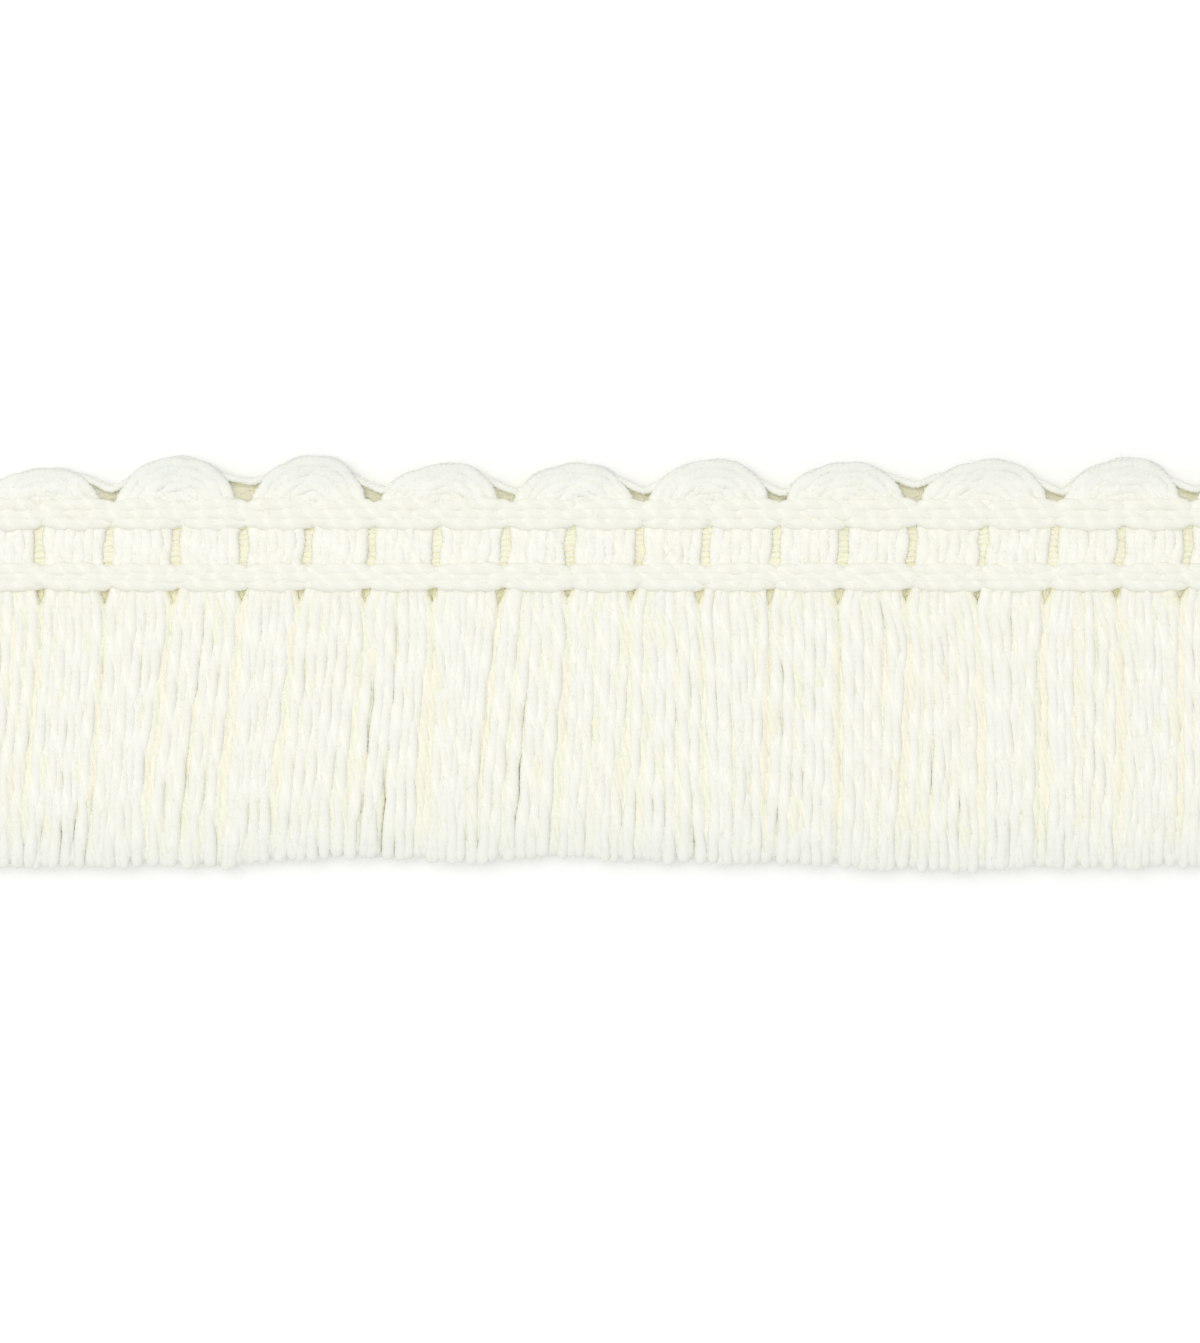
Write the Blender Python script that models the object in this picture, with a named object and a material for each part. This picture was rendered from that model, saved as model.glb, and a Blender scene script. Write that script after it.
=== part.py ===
"""Brush fringe trim: a cut length that lies flat with its face up.

Bundles of yarn climb one column, turn over at the top as a scallop and come down the next
column. Two rows of chain stitch bind the columns, with a slot between each two columns. Below
the lower row the yarn hangs as a cut brush.
X runs along the trim, Y points to the scallops and Z to the face. Sizes are in millimetres, and
heights along Y count from the cut line of the brush.
"""

import math
import random
from typing import NamedTuple

import bmesh
import bpy

MM = 0.001
PIECE_GAP = 0.3
SEED = 41


class Gap(NamedTuple):
    """The gap between two columns: where it runs, from the slot down to the cut ends."""

    slot: float
    neck: float
    upper: float
    lower: float
    tip: float
    width: float
    hem: float


class Scallop(NamedTuple):
    """The crest of one turned-over bundle: its place along the trim and its height."""

    crest: float
    top: float


class Station(NamedTuple):
    """One cross-section of a bundle: its inner and its outer edge, seen from the face."""

    inner: tuple
    outer: tuple


class Layer(NamedTuple):
    """One layer of the brush: its lower and upper side, and its yarns' shift in yarn pitches."""

    low: float
    high: float
    shift: float


class Depth(NamedTuple):
    """How deep a bundle is at a height."""

    height: float
    depth: float


# A row for each gap, from the left end to the right end. Every second gap is under a scallop.
GAPS = (
    Gap(-53.2, -53.3, -53.6, -54.2, -54.4, 0.4, 0.0),
    Gap(-48.0, -48.0, -48.1, -49.2, -49.6, 0.4, 0.0),
    Gap(-42.5, -42.8, -42.9, -43.7, -44.2, 0.4, 0.0),
    Gap(-37.2, -37.6, -38.0, -39.4, -39.8, 0.6, 0.0),
    Gap(-31.9, -32.0, -32.3, -33.5, -34.0, 0.4, -0.1),
    Gap(-26.8, -27.5, -28.0, -29.2, -29.7, 0.6, 0.5),
    Gap(-21.8, -22.5, -22.6, -23.7, -24.2, 0.6, 0.7),
    Gap(-16.7, -17.2, -17.1, -17.7, -18.0, 0.8, 0.5),
    Gap(-11.3, -11.8, -12.3, -13.4, -13.8, 0.4, 0.4),
    Gap(-6.2, -6.6, -6.5, -7.2, -7.6, 0.5, 0.7),
    Gap(-0.7, -1.4, -1.4, -1.9, -2.3, 0.4, 0.5),
    Gap(4.5, 3.8, 4.1, 4.3, 4.4, 0.5, 0.3),
    Gap(10.0, 9.4, 9.4, 9.1, 8.8, 0.7, 0.3),
    Gap(15.3, 14.8, 14.9, 14.9, 14.6, 0.5, 0.1),
    Gap(20.7, 20.1, 20.5, 20.1, 19.7, 0.6, -0.3),
    Gap(26.3, 25.6, 26.0, 26.3, 26.3, 0.4, -0.3),
    Gap(31.8, 31.2, 30.8, 30.7, 30.5, 0.6, -0.1),
    Gap(37.1, 36.6, 37.0, 36.9, 36.6, 0.6, -0.1),
    Gap(42.4, 41.8, 41.7, 41.6, 41.2, 0.4, 0.1),
    Gap(47.8, 47.3, 47.2, 46.9, 46.6, 0.4, 0.1),
    Gap(53.2, 53.0, 52.8, 52.4, 52.0, 0.4, 0.0),
)
SCALLOPS = (
    Scallop(-47.1, 31.3),
    Scallop(-37.0, 32.2),
    Scallop(-26.0, 32.3),
    Scallop(-15.4, 31.7),
    Scallop(-5.5, 31.7),
    Scallop(5.4, 32.0),
    Scallop(15.8, 31.8),
    Scallop(27.3, 32.0),
    Scallop(38.2, 32.1),
    Scallop(48.2, 31.8),
)

# Heights along Y.
NECK = 21.0
UPPER = 17.1
LOWER = 6.9
LOWER_ROW = (21.7, 24.0)
SLOT_MIDDLE = 25.3
UPPER_ROW = (26.5, 29.1)
INNER_SPRING = 27.6
OUTER_SPRING = 28.3

# The bundles, bound flat by the rows of stitches and full between and above them.
BOUND_DEPTH = 1.45
DEPTHS = (
    Depth(LOWER_ROW[1], BOUND_DEPTH),
    Depth(SLOT_MIDDLE, 2.1),
    Depth(UPPER_ROW[0], BOUND_DEPTH),
    Depth(UPPER_ROW[1] + 0.2, BOUND_DEPTH),
    Depth(UPPER_ROW[1] + 1.5, 2.3),
)
SLOT_WIDTH = 1.0
SLOT_ARCH = 0.6
CROTCH_WIDTH = 0.36
ARCH_STEPS = 8
YARNS_ACROSS = 4
YARN_GROOVE = 0.14
SIDE_LEVEL = 0.45
SIDE_TUCK = 0.1
CROWN_FALL = 0.28

# The rows of chain stitch, which lie on the bound legs.
STITCH_RISE = 0.8
STITCH_EDGE = 0.3
STITCH_WAIST = 0.12
STITCH_SLANT = 0.3
STEPS_PER_STITCH = 4
ROW_LEVELS = (-1.0, -0.55, 0.0, 0.55, 1.0)

# The brush: a bound root strip under the lower row, and its yarns in two layers.
ROOT_FOOT = 21.9
ROOT_TOP = 22.65
ROOT_SPACE = 0.9
YARNS_PER_BUNDLE = 5
YARN_WIDTH = 0.78
YARN_SPACE = 0.24
LAYERS = (Layer(0.0, 0.9, -0.25), Layer(1.2, 2.15, 0.25))
TIP_SHRINK = 0.85
TIP_DRIFT = 0.35

CREAM = (0.90, 0.89, 0.79, 1.0)
CHAIN_CREAM = (0.88, 0.87, 0.77, 1.0)
YARN_ROUGHNESS = 0.85
SHARP_ANGLE = math.radians(50)


def between(value, low, high, at_low, at_high):
    """The value on the line from at_low to at_high, held at both ends."""
    share = min(max((value - low) / (high - low), 0.0), 1.0)
    return at_low + share * (at_high - at_low)


def gap_at(gap, height):
    """The place of a gap along the trim between its neck and its slot."""
    return between(height, NECK, SLOT_MIDDLE, gap.neck, gap.slot)


def bundle_depth(height):
    """The depth of a bundle at a height, on straight lines between the rows of the table."""
    for low, high in zip(DEPTHS, DEPTHS[1:]):
        if height < high.height:
            return between(height, low.height, high.height, low.depth, high.depth)
    return DEPTHS[-1].depth


def yarn_material(name, colour):
    """A matt yarn finish."""
    material = bpy.data.materials.new(name)
    material.use_nodes = True
    shader = material.node_tree.nodes["Principled BSDF"]
    shader.inputs["Base Color"].default_value = colour
    shader.inputs["Roughness"].default_value = YARN_ROUGHNESS
    shader.inputs["Metallic"].default_value = 0.0
    return material


def add_piece(name, body, colour, origin):
    """A named object with its own material, hung on the trim's origin."""
    bmesh.ops.recalc_face_normals(body, faces=body.faces)
    mesh = bpy.data.meshes.new(name)
    body.to_mesh(mesh)
    body.free()
    mesh.shade_smooth()
    mesh.set_sharp_from_angle(angle=SHARP_ANGLE)
    mesh.materials.append(yarn_material(name + "_yarn", colour))
    piece = bpy.data.objects.new(name, mesh)
    piece.parent = origin
    bpy.context.scene.collection.objects.link(piece)
    return piece


def loft(sections):
    """A closed body through rings of points, given in millimetres, with a flat cap at each end."""
    body = bmesh.new()
    rings = [[body.verts.new([MM * c for c in point]) for point in ring] for ring in sections]
    for ring, following in zip(rings, rings[1:]):
        for i, vertex in enumerate(ring):
            j = (i + 1) % len(ring)
            body.faces.new((vertex, ring[j], following[j], following[i]))
    body.faces.new(rings[0])
    body.faces.new(rings[-1])
    return body


def bundle_profile():
    """A bundle's cross-section, as shares of its width and depth, with a groove between yarns."""
    points = [(SIDE_TUCK, 0.0, False), (0.0, SIDE_LEVEL, False)]
    for i in range(1, 2 * YARNS_ACROSS):
        across = i / (2 * YARNS_ACROSS)
        crown = 1.0 - CROWN_FALL * abs(2 * across - 1) ** 3
        points.append((across, crown, i % 2 == 0))
    points += [(1.0, SIDE_LEVEL, False), (1.0 - SIDE_TUCK, 0.0, False)]
    return points


def leg_stations(inner_gap, outer_gap, side):
    """One leg from its foot up to the arch. side is -1 for the left leg and 1 for the right."""
    heights = (ROOT_TOP + PIECE_GAP, LOWER_ROW[1], SLOT_MIDDLE, UPPER_ROW[0], INNER_SPRING)
    edge = side * SLOT_WIDTH / 2
    stations = []
    for height in heights:
        inner = (gap_at(inner_gap, height) + edge, height)
        outer = (gap_at(outer_gap, height) - edge, height)
        stations.append(Station(inner, outer))
    return stations


def arch_stations(scallop, left, slot, right):
    """The turn over the slot, from the left leg to the right leg."""
    stations = []
    for step in range(1, ARCH_STEPS):
        angle = math.pi * (1 - step / ARCH_STEPS)
        rise, run = math.sin(angle), math.cos(angle)
        inner = (slot.slot + run * SLOT_WIDTH / 2, INNER_SPRING + rise * SLOT_ARCH)
        end = right.slot - CROTCH_WIDTH / 2 if run > 0 else left.slot + CROTCH_WIDTH / 2
        outer = (
            scallop.crest + abs(run) * (end - scallop.crest),
            OUTER_SPRING + rise * (scallop.top - OUTER_SPRING),
        )
        stations.append(Station(inner, outer))
    return stations


def scallop_loop(scallop, left, slot, right):
    """A bundle that climbs one column, turns over and comes down the next."""
    stations = leg_stations(slot, left, -1)
    stations += arch_stations(scallop, left, slot, right)
    stations += reversed(leg_stations(slot, right, 1))
    sections = []
    for station in stations:
        ring = []
        for across, crown, in_groove in bundle_profile():
            x = station.inner[0] + across * (station.outer[0] - station.inner[0])
            y = station.inner[1] + across * (station.outer[1] - station.inner[1])
            ring.append((x, y, bundle_depth(y) * crown - (YARN_GROOVE if in_groove else 0.0)))
        sections.append(ring)
    return loft(sections)


def chain_row(row, lean):
    """A row of slanted stitches, one to a column, on the face of the bound legs."""
    middle, half = (row[0] + row[1]) / 2, (row[1] - row[0]) / 2
    base = BOUND_DEPTH + PIECE_GAP
    sections = []
    for column, (left, right) in enumerate(zip(GAPS, GAPS[1:])):
        start = gap_at(left, middle)
        end = gap_at(right, middle)
        for step in range(STEPS_PER_STITCH + (column == len(GAPS) - 2)):
            share = step / STEPS_PER_STITCH
            x = start + share * (end - start)
            width = half * (1 - STITCH_WAIST * (1 - math.sin(math.pi * share)))
            ring = [(x, middle - width, base)]
            for level in ROW_LEVELS:
                stitch = math.sin(math.pi * share + lean * STITCH_SLANT * math.pi * level) ** 2
                crest = STITCH_EDGE + (STITCH_RISE - STITCH_EDGE) * (1 - level * level)
                rise = crest * (1 - STITCH_SLANT + STITCH_SLANT * stitch)
                ring.append((x, middle + level * width, base + rise))
            ring.append((x, middle + width, base))
            sections.append(ring)
    return loft(sections)


def yarn_ring(body, left, right, height, layer, shrink=1.0):
    """The four corners of one yarn at a height, its lower side kept level."""
    high = layer.low + shrink * (layer.high - layer.low)
    corners = ((left, layer.low), (right, layer.low), (right, high), (left, high))
    return [body.verts.new((MM * x, MM * height, MM * z)) for x, z in corners]


def yarn_span(left_edge, right_edge, place, shrink=1.0):
    """The two sides of one yarn of a bundle at one height. place counts in yarn pitches."""
    pitch = (right_edge - left_edge) / YARNS_PER_BUNDLE
    middle = left_edge + place * pitch
    half = shrink * min(YARN_WIDTH, pitch - YARN_SPACE) / 2
    return middle - half, middle + half


def bundle_edges(left, right, level):
    """The outer sides of a bundle between two gaps, at a named level."""
    left_edge = getattr(left, level) + left.width / 2
    right_edge = getattr(right, level) - right.width / 2
    return left_edge, right_edge


def root_grid():
    """The sides of every root along the strip, with an open space between the bundles."""
    edges = []
    for left, right in zip(GAPS, GAPS[1:]):
        start = left.neck + ROOT_SPACE / 2
        end = right.neck - ROOT_SPACE / 2
        pitch = (end - start) / YARNS_PER_BUNDLE
        edges.append([start + i * pitch for i in range(YARNS_PER_BUNDLE + 1)])
    return edges


def brush():
    """The root strip and the cut yarns that grow from its lower side, each standing apart."""
    drift = random.Random(SEED)
    body = bmesh.new()
    levels = [BOUND_DEPTH * i / len(LAYERS) for i in range(len(LAYERS) + 1)]
    places = [x for bundle in root_grid() for x in bundle]
    feet = [[body.verts.new((MM * x, MM * ROOT_FOOT, MM * z)) for z in levels] for x in places]
    tops = [[body.verts.new((MM * x, MM * ROOT_TOP, MM * z)) for z in levels] for x in places]
    for i in range(len(places) - 1):
        body.faces.new((feet[i][0], feet[i + 1][0], tops[i + 1][0], tops[i][0]))
        body.faces.new((feet[i][-1], feet[i + 1][-1], tops[i + 1][-1], tops[i][-1]))
        for j in range(len(LAYERS)):
            body.faces.new((tops[i][j], tops[i + 1][j], tops[i + 1][j + 1], tops[i][j + 1]))
            if (i + 1) % (YARNS_PER_BUNDLE + 1) == 0:
                body.faces.new((feet[i][j], feet[i + 1][j], feet[i + 1][j + 1], feet[i][j + 1]))
    for i in (0, -1):
        for j in range(len(LAYERS)):
            body.faces.new((feet[i][j], feet[i][j + 1], tops[i][j + 1], tops[i][j]))
    for column, (left, right) in enumerate(zip(GAPS, GAPS[1:])):
        for index in range(YARNS_PER_BUNDLE):
            i = column * (YARNS_PER_BUNDLE + 1) + index
            for j, layer in enumerate(LAYERS):
                root = [feet[i][j], feet[i + 1][j], feet[i + 1][j + 1], feet[i][j + 1]]
                place = index + 0.5 + layer.shift
                upper = yarn_span(*bundle_edges(left, right, "upper"), place)
                lower = yarn_span(*bundle_edges(left, right, "lower"), place)
                tip = yarn_span(*bundle_edges(left, right, "tip"), place, TIP_SHRINK)
                hem = between(place, 0, YARNS_PER_BUNDLE, left.hem, right.hem)
                hem += drift.uniform(-TIP_DRIFT, TIP_DRIFT)
                rings = [
                    root,
                    yarn_ring(body, *upper, UPPER, layer),
                    yarn_ring(body, *lower, LOWER, layer),
                    yarn_ring(body, *tip, hem, layer, TIP_SHRINK),
                ]
                for ring, following in zip(rings, rings[1:]):
                    for k in range(len(ring)):
                        n = (k + 1) % len(ring)
                        body.faces.new((ring[k], ring[n], following[n], following[k]))
                body.faces.new(rings[-1])
    return body


def centre_on_floor(origin, pieces):
    """Moves the origin so that the trim is centred over it and rests on the floor."""
    points = [vertex.co for piece in pieces for vertex in piece.data.vertices]
    low = [min(point[axis] for point in points) for axis in range(3)]
    high = [max(point[axis] for point in points) for axis in range(3)]
    origin.location = (-(low[0] + high[0]) / 2, -(low[1] + high[1]) / 2, -low[2])


def build_trim():
    """Every piece of the trim, from the scallops down to the brush."""
    for old in list(bpy.data.objects):
        bpy.data.objects.remove(old, do_unlink=True)
    origin = bpy.data.objects.new("trim_origin", None)
    bpy.context.scene.collection.objects.link(origin)
    pieces = []
    for i, scallop in enumerate(SCALLOPS):
        left, slot, right = GAPS[2 * i : 2 * i + 3]
        body = scallop_loop(scallop, left, slot, right)
        pieces.append(add_piece(f"scallop_loop_{i + 1:02d}", body, CREAM, origin))
    pieces.append(add_piece("chain_row_upper", chain_row(UPPER_ROW, 1), CHAIN_CREAM, origin))
    pieces.append(add_piece("chain_row_lower", chain_row(LOWER_ROW, -1), CHAIN_CREAM, origin))
    pieces.append(add_piece("brush_fringe", brush(), CREAM, origin))
    centre_on_floor(origin, pieces)


build_trim()
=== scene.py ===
"""The looks of a brush fringe trim: two-ply yarns, chain stitches, cut ends and stray fibres.

Sizes are in millimetres in the trim's own layout, where X runs along the trim, heights along Y
count from the cut line of the brush and Z rises from the floor. TrimLayout turns them into the
frame's metres.
"""

import logging
import math
from collections.abc import Mapping, Sequence
from dataclasses import dataclass, field
from enum import Enum, IntEnum
from typing import Any, NamedTuple

import bpy
import numpy as np
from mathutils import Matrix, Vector

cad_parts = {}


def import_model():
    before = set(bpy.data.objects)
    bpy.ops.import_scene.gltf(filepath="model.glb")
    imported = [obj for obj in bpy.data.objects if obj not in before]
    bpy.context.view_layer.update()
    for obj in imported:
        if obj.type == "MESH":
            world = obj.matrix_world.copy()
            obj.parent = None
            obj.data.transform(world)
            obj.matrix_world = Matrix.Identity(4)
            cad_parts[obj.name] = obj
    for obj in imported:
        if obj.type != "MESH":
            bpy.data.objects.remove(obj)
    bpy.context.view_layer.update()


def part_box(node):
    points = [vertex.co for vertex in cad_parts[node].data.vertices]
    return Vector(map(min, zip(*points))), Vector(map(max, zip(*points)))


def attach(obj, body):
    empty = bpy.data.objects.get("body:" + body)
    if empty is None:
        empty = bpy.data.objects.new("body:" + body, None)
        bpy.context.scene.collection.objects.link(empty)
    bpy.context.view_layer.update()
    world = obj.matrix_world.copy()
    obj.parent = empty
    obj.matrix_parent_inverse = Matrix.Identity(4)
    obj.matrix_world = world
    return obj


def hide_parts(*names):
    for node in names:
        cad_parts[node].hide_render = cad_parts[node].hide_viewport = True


MM = 0.001
BODY = "root"
LOWEST = 0.02
TINY = 1e-9
PHASES = 6.28
# Heights under which yarns take the painted recess shade: within a column, and at the trim's outer
# ends.
COLUMN_SHADE_BELOW = 1.3
EDGE_SHADE_BELOW = 0.4
log = logging.getLogger("brush_fringe")

Points = np.ndarray
Colour = tuple[float, float, float, float]

IVORY: Colour = (0.935, 0.923, 0.83, 1.0)
# A lighter, warm ivory: the colour of the fibre grain, and painted light in the grooves between
# the plies, which reads as soft ply highlights.
GROOVE_LIGHT_AND_GRAIN: Colour = (0.965, 0.95, 0.86, 1.0)
PALE: Colour = (0.93, 0.935, 0.885, 1.0)
# Cooler and darker: painted shade where the light falls off, at the cut ends and over the scallop
# tops.
EDGE_SHADE: Colour = (0.83, 0.857, 0.795, 1.0)
# Painted recess shade: a yellow that stands in for the shade where yarns lie low between others.
RECESS_SHADE: Colour = (0.93, 0.91, 0.71, 1.0)
# The loop yarn's ivory made darker: painted shade that keeps the raised chain rows, which catch
# the most light, from reading brighter than the rest.
CHAIN: Colour = (0.885, 0.88, 0.80, 1.0)
SHADED: Colour = (0.85, 0.832, 0.652, 1.0)
# Yellowed ivory of the ground cords: painted shade of the slots in which they show.
CORD_RECESS_SHADE: Colour = (0.93, 0.915, 0.74, 1.0)
HUNG: Colour = (0.902, 0.892, 0.802, 1.0)
HUNG_PALE: Colour = (0.898, 0.903, 0.848, 1.0)
FLOOR: Colour = (0.995, 0.995, 0.99, 1.0)


class Twist(Enum):
    """Which way a yarn's plies turn."""

    S = -1
    Z = 1


class Slot(Enum):
    """The record's finishes."""

    LOOP = "loop_yarn"
    CHAIN = "chain_yarn"
    BRUSH = "brush_yarn"


class Seed(IntEnum):
    """Where each kind of piece starts its random draws."""

    HEADING_FUZZ = 11
    BRUSH_FUZZ = 12
    UPPER_ROW = 51
    LOWER_ROW = 52
    WISPS = 77
    LOOPS = 300
    BRIDGES = 330
    CORDS = 398
    CROTCHES = 399
    BRUSH_FRONT = 700
    BRUSH_BEHIND = 750


@dataclass(frozen=True)
class Gap:
    """The gap between two columns of yarn, from the slot down to the cut ends."""

    slot: float
    neck: float
    upper: float
    lower: float
    tip: float
    width: float
    hem: float


@dataclass(frozen=True)
class Scallop:
    """The crest of one turned-over bundle."""

    crest: float
    top: float


@dataclass(frozen=True)
class Notch:
    """Where the outline dips between two scallops: beside the slot below it, and how low."""

    aside: float
    low: float


@dataclass(frozen=True)
class Split:
    """A parting inside one bundle of the brush, from its head down to its foot."""

    bundle: int
    place_high: float
    place_low: float
    head: float
    foot: float
    width: float


GAPS = (
    Gap(-53.2, -53.3, -53.6, -54.2, -54.4, 0.4, 0.0),
    Gap(-48.0, -48.0, -48.1, -49.2, -49.6, 0.4, 0.0),
    Gap(-42.5, -42.8, -42.9, -43.7, -44.2, 0.4, 0.0),
    Gap(-37.2, -37.6, -38.0, -39.4, -39.8, 0.6, 0.0),
    Gap(-31.9, -32.0, -32.3, -33.5, -34.0, 0.4, -0.1),
    Gap(-26.8, -27.5, -28.0, -29.2, -29.7, 0.6, 0.5),
    Gap(-21.8, -22.5, -22.6, -23.7, -24.2, 0.6, 0.7),
    Gap(-16.7, -17.2, -17.1, -17.7, -18.0, 0.8, 0.5),
    Gap(-11.3, -11.8, -12.3, -13.4, -13.8, 0.4, 0.4),
    Gap(-6.2, -6.6, -6.5, -7.2, -7.6, 0.5, 0.7),
    Gap(-0.7, -1.4, -1.4, -1.9, -2.3, 0.4, 0.5),
    Gap(4.5, 3.8, 4.1, 4.3, 4.4, 0.5, 0.3),
    Gap(10.0, 9.4, 9.4, 9.1, 8.8, 0.7, 0.3),
    Gap(15.3, 14.8, 14.9, 14.9, 14.6, 0.5, 0.1),
    Gap(20.7, 20.1, 20.5, 20.1, 19.7, 0.6, -0.3),
    Gap(26.3, 25.6, 26.0, 26.3, 26.3, 0.4, -0.3),
    Gap(31.8, 31.2, 30.8, 30.7, 30.5, 0.6, -0.1),
    Gap(37.1, 36.6, 37.0, 36.9, 36.6, 0.6, -0.1),
    Gap(42.4, 41.8, 41.7, 41.6, 41.2, 0.4, 0.1),
    Gap(47.8, 47.3, 47.2, 46.9, 46.6, 0.4, 0.1),
    Gap(53.2, 53.0, 52.8, 52.4, 52.0, 0.4, 0.0),
)
SCALLOPS = (
    Scallop(-47.1, 31.3),
    Scallop(-37.0, 32.2),
    Scallop(-26.0, 32.3),
    Scallop(-15.4, 31.7),
    Scallop(-5.5, 31.7),
    Scallop(5.4, 32.0),
    Scallop(15.8, 31.8),
    Scallop(27.3, 32.0),
    Scallop(38.2, 32.1),
    Scallop(48.2, 31.8),
)
NOTCHES = (
    Notch(0.2, 29.75),
    Notch(0.5, 30.35),
    Notch(1.0, 29.65),
    Notch(0.9, 29.50),
    Notch(0.3, 29.60),
    Notch(0.5, 29.45),
    Notch(0.3, 30.10),
    Notch(0.7, 29.50),
    Notch(0.6, 29.70),
)
SPLITS = (
    Split(3, 0.45, 0.55, 14.0, 4.0, 0.25),
    Split(6, 0.26, 0.10, 16.3, 6.0, 0.40),
    Split(8, 0.41, 0.47, 14.0, 3.0, 0.40),
    Split(11, 0.60, 0.45, 12.4, 1.0, 0.45),
    Split(13, 0.70, 0.85, 18.7, 9.0, 0.30),
    Split(14, 0.32, 0.35, 11.6, 6.0, 0.30),
    Split(16, 0.43, 0.35, 17.9, 9.0, 0.35),
    Split(17, 0.73, 0.80, 17.1, 3.0, 0.35),
)


@dataclass
class TrimLayout:
    """Where the trim's columns, rows and crests are, and how they lie in the frame."""

    neck: float = 21.0
    upper: float = 17.1
    lower: float = 6.9
    tip: float = 0.5
    slot: float = 25.3
    lower_row: tuple[float, float] = (21.7, 24.0)
    upper_row: tuple[float, float] = (26.5, 29.1)
    offset: Vector = field(default_factory=Vector)

    def anchor(self) -> None:
        """Finds the layout's place in the frame from the lower chain row and the floor."""
        low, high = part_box("chain_row_lower")
        middle = sum(self.lower_row) / 2
        start = self.gap_x(0, middle)
        self.offset = Vector((low.x - MM * start, low.y - MM * self.lower_row[0], 0.0))

    def gap_x(self, index: int, height: float) -> float:
        """The place of a gap along the trim at a height.

        Args:
            index: The gap's row in the table.
            height: The height above the cut line.

        Returns:
            The place along X.
        """
        gap = GAPS[index]
        heights = (self.tip, self.lower, self.upper, self.neck, self.slot)
        places = (gap.tip, gap.lower, gap.upper, gap.neck, gap.slot)
        return float(np.interp(height, heights, places))

    def world(self, points: Points) -> Points:
        """Layout millimetres as metres in the frame."""
        return points * MM + np.array(self.offset)


def smooth_route(points: Sequence[Sequence[float]], spacing: float, fine: int = 12) -> Points:
    """A smooth line through given points, cut into even steps.

    Args:
        points: The points that the line goes through.
        spacing: The length of a step.
        fine: How many short chords stand for the curve between two points.

    Returns:
        The line's points, one to a row.
    """
    marks = np.asarray(points, float)
    ends = np.vstack([2 * marks[0] - marks[1], marks, 2 * marks[-1] - marks[-2]])
    t = np.linspace(0, 1, fine, endpoint=False)[:, None]
    spans = []
    for a, b, c, d in zip(ends, ends[1:], ends[2:], ends[3:]):
        bend = (2 * a - 5 * b + 4 * c - d) * t**2 + (3 * b - a - 3 * c + d) * t**3
        spans.append(0.5 * (2 * b + (c - a) * t + bend))
    dense = np.vstack([*spans, marks[-1:]])
    run = np.concatenate([[0], np.cumsum(np.linalg.norm(np.diff(dense, axis=0), axis=1))])
    stops = np.linspace(0, run[-1], max(4, round(run[-1] / spacing)) + 1)
    return np.column_stack([np.interp(stops, run, dense[:, axis]) for axis in range(3)])


@dataclass(frozen=True)
class YarnSection:
    """A two-ply yarn's section: two round plies that lean into each other."""

    ply: float = 0.46
    apart: float = 0.12
    sides: int = 12
    pitch: float = 3.8
    twist: Twist = Twist.Z

    @property
    def reach(self) -> float:
        """The yarn's half width across both plies."""
        return self.ply + self.apart

    def outline(self) -> tuple[Points, Points]:
        """The section's outline.

        Returns:
            The angle of each point and its distance from the yarn's centre.
        """
        angles = np.linspace(0, 2 * math.pi, self.sides, endpoint=False)
        waist = np.sqrt(self.ply**2 - (self.apart * np.sin(angles)) ** 2)
        return angles, self.apart * np.abs(np.cos(angles)) + waist


@dataclass(frozen=True)
class YarnEnd:
    """How a cut end opens, rounds off and turns to the cooler, darker painted edge shade; rings
    are shares of round_length.
    """

    flare: float = 1.06
    flare_length: float = 3.0
    flare_power: float = 1.5
    round_length: float = 0.6
    rings: tuple[float, ...] = (1.0, 0.62, 0.34, 0.14, 0.03)
    clear: float = 0.1
    blunt: float = 0.05
    open_plies: float = 0.5
    end_shade_length: float = 8.0


class MeshStore:
    """Collects points, faces and their values, and makes one mesh of them."""

    def __init__(self) -> None:
        """Starts an empty store."""
        self.points: list[Points] = []
        self.faces: list[Points] = []
        self.caps: list[list[int]] = []
        self.uvs: list[Points] = []
        # shade is a random tone; groove, tip and under say where the finish paints light, edge
        # shade and recess shade.
        self.values: dict[str, list[Points]] = {"shade": [], "groove": [], "tip": [], "under": []}
        self.count = 0

    def add(self, points: Points, faces: Points, uvs: Points, **values: Points) -> None:
        """Adds quads.

        Args:
            points: The points, one to a row.
            faces: Four point numbers to a row, counted from this call's first point.
            uvs: Two numbers for each corner of each face.
            **values: One number for each point, by name.
        """
        self.points.append(points)
        self.faces.append(faces + self.count)
        self.uvs.append(uvs)
        for name, known in self.values.items():
            known.append(np.broadcast_to(values.get(name, 0.0), (len(points),)))
        self.count += len(points)

    def cap(self, corners: Sequence[int], first: int) -> None:
        """Closes an end with one face over the points that are numbered from first."""
        self.caps.append([first + corner for corner in corners])

    def piece(self, name: str, layout: TrimLayout, smooth: bool = True) -> bpy.types.Object:
        """Makes the stored faces one object in the scene.

        Args:
            name: The object's name.
            layout: What places the points in the frame.
            smooth: Whether its faces are shaded smooth.

        Returns:
            The object.
        """
        mesh = bpy.data.meshes.new(name)
        quads = np.vstack(self.faces)
        faces = quads.tolist() + self.caps
        mesh.from_pydata(layout.world(np.vstack(self.points)).tolist(), [], faces)
        uvs = np.zeros((len(mesh.loops), 2))
        flat = np.vstack(self.uvs).reshape(-1, 2)
        uvs[: len(flat)] = flat
        mesh.uv_layers.new(name="yarn").data.foreach_set("uv", uvs.ravel())
        for key, rows in self.values.items():
            attribute = mesh.attributes.new(key, "FLOAT", "POINT")
            attribute.data.foreach_set("value", np.concatenate(rows).astype(np.float32))
        if smooth:
            mesh.shade_smooth()
        mesh.validate()
        thing = bpy.data.objects.new(name, mesh)
        bpy.context.scene.collection.objects.link(thing)
        return thing


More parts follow.
